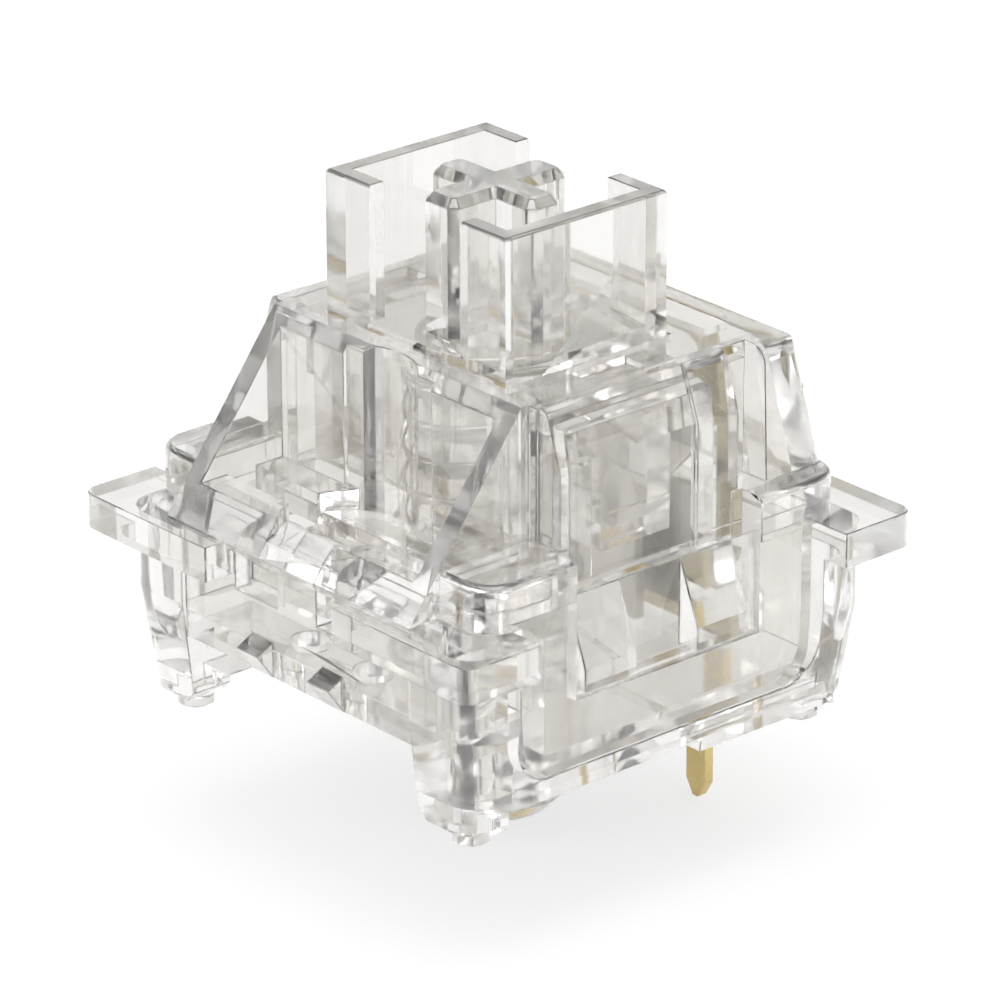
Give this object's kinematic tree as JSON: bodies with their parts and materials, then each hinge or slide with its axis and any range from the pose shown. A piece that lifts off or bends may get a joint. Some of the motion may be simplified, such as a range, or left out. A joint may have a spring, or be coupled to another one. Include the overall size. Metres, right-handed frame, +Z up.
{
  "type": "mechanical keyboard switch",
  "caption": "Clear plate-mounted keyboard switch with a cross stem between dust walls, a coil return spring, leaf contacts and two solder pins.",
  "frame": {"origin": "on the centre post's axis in the plane of the circuit board's top face, which the four round feet touch", "axes": "+Z up along the stem's stroke, towards the keycap; +Y towards the contact side, away from the light window; +X to the right seen from the light window"},
  "size_m": [0.0156, 0.0156, 0.0183],
  "materials": {
    "clear_housing": "clear polycarbonate, polished mould",
    "clear_stem": "clear polycarbonate, polished mould",
    "spring_wire": "bright spring steel wire",
    "contact_strip": "thin gold flash over copper alloy strip",
    "contact_gold": "gold alloy contact bar"
  },
  "bodies": {
    "housing": {"lower_housing": "clear_housing", "upper_housing": "clear_housing", "return_spring": "spring_wire", "fixed_contact": "contact_strip", "fixed_point": "contact_gold", "leaf_terminal": "contact_strip"},
    "slider": {"stem": "clear_stem"},
    "leaf": {"contact_leaf": "contact_strip", "leaf_point": "contact_gold"}
  },
  "joints": [
    {"name": "stem_stroke", "type": "slide", "parent": "housing", "child": "slider", "axis": [0, 0, -1], "range_m": [0, 0.004], "stiffness_N_per_m": 43, "springref_m": -0.0069, "deforming": ["return_spring"]},
    {"name": "leaf_bend", "type": "hinge", "parent": "housing", "child": "leaf", "pos_m": [0, 0.00488, 0.0022], "axis": [1, 0, 0], "range_deg": [0, 3]}
  ],
  "couplings": [
    {"joint": "leaf_bend", "follows": "stem_stroke", "rad_per_m": 13}
  ]
}
